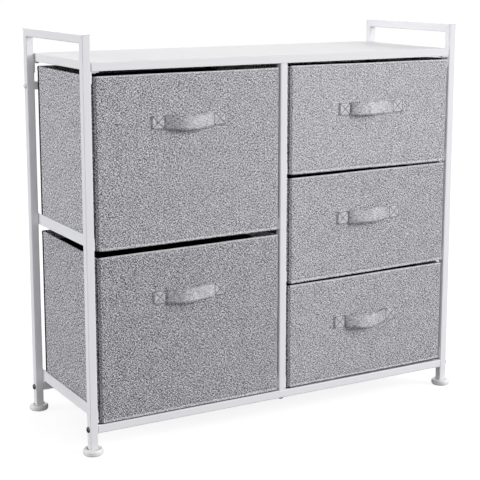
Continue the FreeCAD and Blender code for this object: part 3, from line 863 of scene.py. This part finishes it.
def strapHandle(drawer, number, panel):
    low, high = boxOf(drawer + "_handle")
    fit = dict(zip(strapKeys, strapFit[drawer]))
    low[0] += fit["shift"][0]
    high[0] += fit["shift"][1]
    width = high[2] - low[2]
    tab, loop = width, high[0] - low[0] - 2 * width
    middle, halfThick = (low[2] + high[2]) / 2, strap["thick"] / 2
    row = tab / 2 - strap["edgeRow"]
    # seen from above: flat on the cloth under the tabs, and between them a bow with straight flanks and a
    # round top, 1 - ln cosh(s / tight) / ln cosh(1 / tight), where s runs from -1 to 1 between the tabs
    # and is 0 at the peak; times 1 - t^ease it flattens out at the right tab
    t = np.linspace(0.0, 1.0, strap["samples"])
    s = 2 * t ** (math.log(0.5) / math.log(fit["peak"])) - 1
    arch = 1 - np.log(np.cosh(s / strap["tight"])) / math.log(math.cosh(1 / strap["tight"]))
    arch = fit["bulge"] * arch * (1 - t ** fit["ease"])
    run = lengthAlong(np.stack([t * loop, arch], -1))
    # the line goes on straight for a little past both tabs, so that steps on it never leave it
    past, total = strap["past"], 2 * tab + run[-1]
    line = {"run": np.concatenate([[-past, 0.0], tab + run, [total, total + past]]),
            "x": low[0] + np.concatenate([[-past, 0.0], tab + loop * t, high[0] - low[0] + [0.0, past]]),
            "bow": np.pad(arch, 2), "share": np.pad(t, 2, "edge")}

    def read(key, place):
        return np.interp(place, line["run"], line[key])

    def surface(place, over, out):
        # place along the strap, over from its middle line, out from its middle layer
        place, over, out = np.broadcast_arrays(place, over, out)
        share = read("share", place)
        swing = np.sin(math.pi * share) ** strap["swing"]
        step = strap["probe"]
        dx, dBow = (read(key, place + step) - read(key, place - step) for key in ("x", "bow"))
        size = np.hypot(dx, dBow)
        x = read("x", place) - dBow / size * out
        z = middle + over - swing * (blend(fit["sag"], share) + strap["droop"] * (0.5 - over / width))
        alongTurns, overTurns = strap["creaseTurns"]
        wrinkle = np.sin(share * alongTurns + number) * np.cos(over / width * overTurns + number)
        wrinkle = strap["crease"] * swing * wrinkle
        y = panel["low"][1] - frontRelief(x, z, panel) - halfThick - read("bow", place)
        y = y - fit["tilt"] * swing * (0.5 - over / width)
        y = y - dx / size * (out + wrinkle)
        right, rise = frontShift(x, z, panel)
        return np.stack([x + right, y, z + rise], -1)

    def dip(place, over):
        # bell-shaped dents in the outer face along the sewing: a box and a cross on each tab, two rows on
        # the loop
        along, beside = np.abs(np.minimum(place, total - place) - tab / 2), np.abs(over)
        box = np.minimum(np.abs(along - row), np.abs(beside - row))
        cross = np.abs(along - beside) / math.sqrt(2)
        within = np.maximum(along, beside) < row + strap["boxReach"]
        onTab = np.where(within, np.minimum(box, cross), np.inf)
        fromRow = np.where(along < tab / 2, onTab, np.abs(beside - row))
        return strap["dip"] * bell(fromRow, 0.0, strap["dipWidth"])

    places = np.concatenate([np.linspace(0.0, tab, strap["tabLines"]),
                             np.linspace(tab, total - tab, strap["loopLines"])[1:-1],
                             np.linspace(total - tab, total, strap["tabLines"])])[:, None]
    straight = width / 2 - halfThick
    rim = np.linspace(0.0, math.pi, 7)[1:-1]
    outside = np.linspace(-straight, straight, strap["outsideLines"])
    inside = np.linspace(straight, -straight, strap["insideLines"])
    over = np.concatenate([outside, straight + halfThick * np.sin(rim),
                           inside, -straight - halfThick * np.sin(rim)])
    out = np.concatenate([np.ones_like(outside), np.cos(rim), -np.ones_like(inside), -np.cos(rim)])
    out = out * halfThick
    outer = np.arange(len(over)) < len(outside)
    over, out, outer = (np.append(v, v[0]) for v in (over, out, outer))
    grid = surface(places, over, out - outer * dip(places, over))
    girth = lengthAlong(np.stack([over, out], -1))
    cloth = np.stack(np.broadcast_arrays(places + strap["clothStart"] * number, girth), -1)
    edges = [np.stack([grid[k], np.broadcast_to(grid[k].mean(0), grid[k].shape)]) for k in (0, -1)]
    # the tabs, left flank, right flank and right end each have a shade, on the flanks painted shade and
    # light as they turn from and to the lamp; a painted shadow along the upper edge and painted shade in the
    # crease where the loop leaves the left tab
    share = read("share", places)
    onLoop = smoothStep(np.minimum(places, total - places) - tab, *strap["loopFrom"])
    turn = smoothStep(share, fit["peak"] - strap["turnReach"], fit["peak"])
    tabShade, leftShade, *rightShades = fit["shade"]
    rightShade = blend(rightShades, smoothStep(share, strap["endFrom"], 1.0))
    tone = blend((tabShade, blend((leftShade, rightShade), turn)), onLoop)
    tone = tone - strap["creaseShade"] * bell(places, tab + strap["jointAfter"], strap["jointWidth"])
    edgeShade, edgeStart = fit["edge"]
    edgeShade = edgeShade * smoothStep(share, edgeStart, strap["edgeEnd"]) * onLoop
    tone = tone - edgeShade * bell(over, width / 2, strap["edgeWidth"])
    patches = [{"points": grid, "cloth": cloth, "hem": tone}]
    patches += [{"points": edge, "cloth": edge[..., 1:] + strap["endCloth"], "hem": tabShade}
                for edge in edges]
    gridPiece(drawer + "_strap", patches, drawer, "strap_fabric", [drawer + "_handle"])

    def sewn(places, sink):
        return stitchRow(places, lambda u, v, out: surface(u, v, out + halfThick - sink))

    for side, centre, thread in zip(("left", "right"), (tab / 2, total - tab / 2), fit["thread"]):
        rows = []
        for start, end in (((-1, -1), (1, -1)), ((-1, 1), (1, 1)), ((-1, -1), (-1, 1)), ((1, -1), (1, 1)),
                           ((-1, -1), (1, 1)), ((-1, 1), (1, -1))):
            places = alongLine(np.array(start) * row, np.array(end) * row, strap["sewing"]) + [centre, 0.0]
            rows.append(sewn(places, strap["boxSink"]))
        stitchPiece(drawer + "_" + side + "_tab_stitches", rows, threads[thread], drawer,
                    strap["sewing"])
    first, last = tab + strap["loopInset"], total - tab - strap["loopInset"]
    rows = [sewn(alongLine((first, edge), (last, edge)), strap["dip"]) for edge in (-row, row)]
    stitchPiece(drawer + "_strap_stitches", rows, threads["dark"], drawer)


for number, drawer in enumerate(drawers):
    panel = drawerFront(drawer, number)
    drawerBin(drawer, panel)
    drawerBoards(drawer, panel)
    drawerBase(drawer)
    strapHandle(drawer, number, panel)
print("sewn", len(drawers), "drawers")


# Welds where the side frames' rails meet their posts

weldBead = {"radius": 0.00045, "corner": 0.0020, "sides": 8}


def mitreBeads():
    # a thin rope carried round the tube's outline in the 45 degree plane of each corner
    turns = np.linspace(0.0, math.tau, weldBead["sides"] + 1)[:, None]
    patches = []
    for side in ("left", "right"):
        railLow, railHigh = boxOf(side + "_top_rail")
        half = (railHigh[0] - railLow[0]) / 2
        centreX = (railHigh[0] + railLow[0]) / 2
        outline = planPath((-half, -half), (half, half), weldBead["corner"])[0]
        for end, sign in ((railLow[1], 1.0), (railHigh[1], -1.0)):
            # across the tube x follows the outline; down the mitre y and z move together
            down = half - outline[:, 1]
            middle = np.stack([centreX + outline[:, 0], end + sign * down, railHigh[2] - down], -1)
            heart = np.array([centreX, end + sign * half, railHigh[2] - half])
            away = middle - heart
            away = away / np.linalg.norm(away, axis=1, keepdims=True)
            across = np.array([0.0, sign, 1.0]) / math.sqrt(2)
            ring = away[:, None] * np.cos(turns) + across * np.sin(turns)
            patches.append({"points": middle[:, None] + weldBead["radius"] * ring})
    gridPiece("mitre_welds", patches, "frame", "white_steel", weld=1e-6)


mitreBeads()
print("welds on the side frames")


# Floor, light and camera

studio = {
    "ambient": 0.30, "floorTone": 0.25, "floorHaze": 1.03, "hazeSize": 0.5, "floorGlow": 0.85,
    "floorReach": 30.0, "aim": (0.0, 0.0, 0.39), "distance": 9.0,
    "key": {"azimuth": 50, "elevation": 22, "size": 5.6, "level": 1.00},
    "fill": {"azimuth": -110, "elevation": 10, "spread": 40, "level": 0.78},
    "front": {"azimuth": -30, "elevation": 15, "spread": 50, "level": 0.23},
    "rear": {"azimuth": 160, "elevation": 12, "spread": 40, "level": 0.45},
}


def studioPaper(shader):
    # grey paper that glows white for the camera alone
    tone = studio["floorTone"]
    colour = shader.mix(shader.grain(studio["hazeSize"]), (tone,) * 3, (tone * studio["floorHaze"],) * 3)
    seen = shader.node("LightPath", output="Is Camera Ray")
    glow = shader.node("Emission", None, {"Color": (1, 1, 1), "Strength": seen * studio["floorGlow"]})
    paper = shader.node("BsdfDiffuse", None, {"Color": colour})
    return shader.node("AddShader", None, {0: paper, 1: glow})


def makeFloor():
    mesh = bpy.data.meshes.new("studioFloor")
    reach = studio["floorReach"]
    mesh.from_pydata([(-reach, -reach, 0), (reach, -reach, 0), (reach, reach, 0), (-reach, reach, 0)], [],
                     [(0, 1, 2, 3)])
    mesh.materials.append(makeMaterial("studioPaper", studioPaper))
    newObject("studioFloor", mesh)


def makeWorld():
    # white where the camera, a mirror or glass sees it, dim where it lights matt surfaces
    world = bpy.data.worlds.new("studioWorld")
    world.use_nodes = True
    bpy.context.scene.world = world
    shader = Shader(world.node_tree)
    seen = shader.node("LightPath", output="Is Camera Ray")
    for kind in ("Is Glossy Ray", "Is Transmission Ray"):
        seen = seen + shader.node("LightPath", output=kind)
    white, dim = (shader.node("Background", None, {"Color": (1, 1, 1), "Strength": strength})
                  for strength in (1.0, studio["ambient"]))
    both = shader.node("MixShader", None, {0: shader.calculate("MINIMUM", seen, 1.0), 1: dim, 2: white})
    shader.node("OutputWorld", None, {"Surface": both})


def makeLamps():
    # level is the light on a white face that looks straight at the lamp: power / (pi^2 distance^2) for
    # the round key lamp, strength / pi for the three far ones
    for name in ("key", "fill", "front", "rear"):
        lamp = studio[name]
        light = bpy.data.lights.new(name + "Lamp", "AREA" if name == "key" else "SUN")
        if name == "key":
            light.shape = "DISK"
            light.size = lamp["size"]
            light.energy = lamp["level"] * math.pi ** 2 * studio["distance"] ** 2
        else:
            light.angle = math.radians(lamp["spread"])
            light.energy = lamp["level"] * math.pi
        holder = newObject(name + "Lamp", light)
        # a lamp shines towards its own -z, at the aim
        holder.rotation_euler = (math.radians(90 - lamp["elevation"]), 0.0, math.radians(lamp["azimuth"]))
        back = np.array(holder.rotation_euler.to_matrix().col[2])
        holder.location = back * studio["distance"] + studio["aim"]
        holder.visible_camera = False


view = {"place": (-1.2819, -2.2232, 0.9021), "yaw": 29.67, "pitch": 10.15, "lens": 94.35, "shift": -0.10,
        "sensor": 36.0, "near": 0.05, "far": 200.0}


def makeCamera():
    camera = bpy.data.cameras.new("camera")
    camera.lens = view["lens"]
    camera.sensor_width = view["sensor"]
    camera.shift_y = view["shift"]
    camera.clip_start = view["near"]
    camera.clip_end = view["far"]
    holder = newObject("camera", camera)
    holder.location = view["place"]
    holder.rotation_euler = (math.radians(90 - view["pitch"]), 0.0, math.radians(-view["yaw"]))
    bpy.context.scene.camera = holder


makeFloor()
makeWorld()
makeLamps()
makeCamera()
bpy.context.scene.view_settings.view_transform = "Standard"
print("studio and camera")
